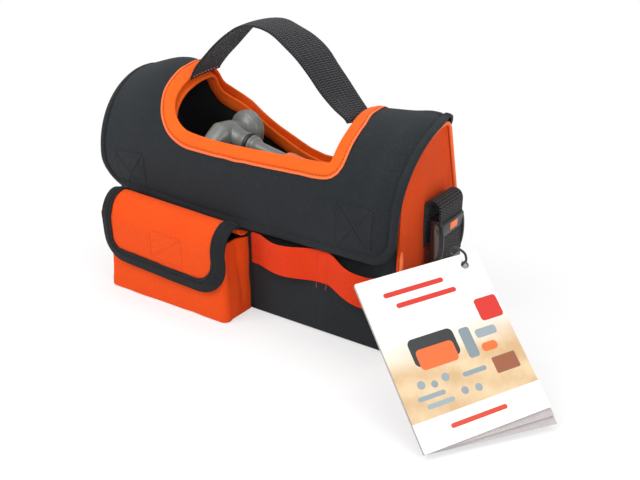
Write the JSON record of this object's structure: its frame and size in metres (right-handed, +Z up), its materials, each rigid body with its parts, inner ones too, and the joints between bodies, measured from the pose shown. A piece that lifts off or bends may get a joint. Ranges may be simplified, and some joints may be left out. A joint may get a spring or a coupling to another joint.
{
  "type": "toy tool bag",
  "caption": "Soft open-top toy tool bag with lifting cover, webbing handle, front pocket with flap, tool loops, end buckles, hang tag and toy hammer.",
  "frame": {"origin": "middle of the underside of the body", "axes": "+Z up, +X along the bag to the end with the hang tag, -Y to the front with the pocket"},
  "size_m": [0.4295, 0.1941, 0.2328],
  "materials": {
    "orange_cloth": "woven, matt",
    "black_cloth": "fine woven, matt",
    "lining_cloth": "thin woven, matt",
    "orange_tape": "ribbed binding tape, slight sheen",
    "black_webbing": "coarse woven webbing",
    "hook_tape": "hook-and-loop tape",
    "buckle_plastic": "moulded, semi-gloss",
    "grey_plastic": "moulded, satin",
    "orange_plastic": "moulded, satin",
    "card": "coated card, smooth",
    "elastic": "braided elastic"
  },
  "bodies": {
    "bag": {"right_gusset": "orange_cloth", "left_gusset": "orange_cloth", "pocket_body": "orange_cloth", "pocket_flap_root": "orange_cloth", "tool_loop_band": "orange_cloth", "front_panel": "black_cloth", "back_panel": "black_cloth", "base_panel": "black_cloth", "cover_back": "black_cloth", "tool_panel": "black_cloth", "lining_front": "lining_cloth", "lining_back": "lining_cloth", "lining_floor": "lining_cloth", "lining_right_end": "lining_cloth", "lining_left_end": "lining_cloth", "rim_binding": "orange_tape", "cover_binding_back": "orange_tape", "right_piping": "orange_tape", "left_piping": "orange_tape", "right_strap_upper": "black_webbing", "right_strap_lower": "black_webbing", "left_strap_upper": "black_webbing", "left_strap_lower": "black_webbing", "loop_patch_left": "hook_tape", "loop_patch_right": "hook_tape", "pocket_loop_patch": "hook_tape", "right_buckle_socket": "buckle_plastic", "left_buckle_socket": "buckle_plastic", "tag_tie": "elastic"},
    "cover": {"cover_front": "black_cloth", "cover_binding_front": "orange_tape", "hook_patch_left": "hook_tape", "hook_patch_right": "hook_tape"},
    "handle": {"carry_handle": "black_webbing"},
    "pocket_cover": {"pocket_flap": "orange_cloth", "pocket_flap_binding": "black_cloth", "pocket_hook_patch": "hook_tape"},
    "right_plug": {"right_buckle_plug": "buckle_plastic"},
    "left_plug": {"left_buckle_plug": "buckle_plastic"},
    "tag": {"tag_front_leaf": "card"},
    "tag_leaf": {"tag_rear_leaf": "card"},
    "hammer": {"hammer_head": "grey_plastic", "hammer_ring": "buckle_plastic", "hammer_shaft": "grey_plastic", "hammer_grip": "orange_plastic"}
  },
  "joints": [
    {"name": "cover_fold", "type": "hinge", "parent": "bag", "child": "cover", "pos_m": [-0.11, 0.012, 0.19676], "axis": [-0.9974, 0, 0.0727], "range_deg": [0, 150]},
    {"name": "handle_swing", "type": "hinge", "parent": "bag", "child": "handle", "pos_m": [-0.0802, 0.004, 0.18], "axis": [0.9909, 0, -0.1344], "range_deg": [-8, 24]},
    {"name": "pocket_flap_fold", "type": "hinge", "parent": "bag", "child": "pocket_cover", "pos_m": [-0.06185, -0.0628, 0.083], "axis": [-0.9988, 0, 0.0499], "range_deg": [0, 100]},
    {"name": "right_plug_slide", "type": "slide", "parent": "bag", "child": "right_plug", "axis": [0, 0, -1], "range_m": [0, 0.016]},
    {"name": "left_plug_slide", "type": "slide", "parent": "bag", "child": "left_plug", "axis": [0, 0, -1], "range_m": [0, 0.016]},
    {"name": "tag_swing", "type": "hinge", "parent": "bag", "child": "tag", "pos_m": [0.1383, -0.1025, 0.0815], "axis": [-0.5393, -0.8368, -0.0941], "range_deg": [0, 60], "deforming": ["tag_tie"]},
    {"name": "tag_leaf_fold", "type": "hinge", "parent": "tag", "child": "tag_leaf", "pos_m": [0.13788, -0.10217, 0.0809], "axis": [0.6624, -0.3526, -0.661], "range_deg": [0, 8.5]},
    {"name": "hammer_lift", "type": "slide", "parent": "bag", "child": "hammer", "axis": [0, -0.2079, 0.9781], "range_m": [0, 0.014]}
  ]
}
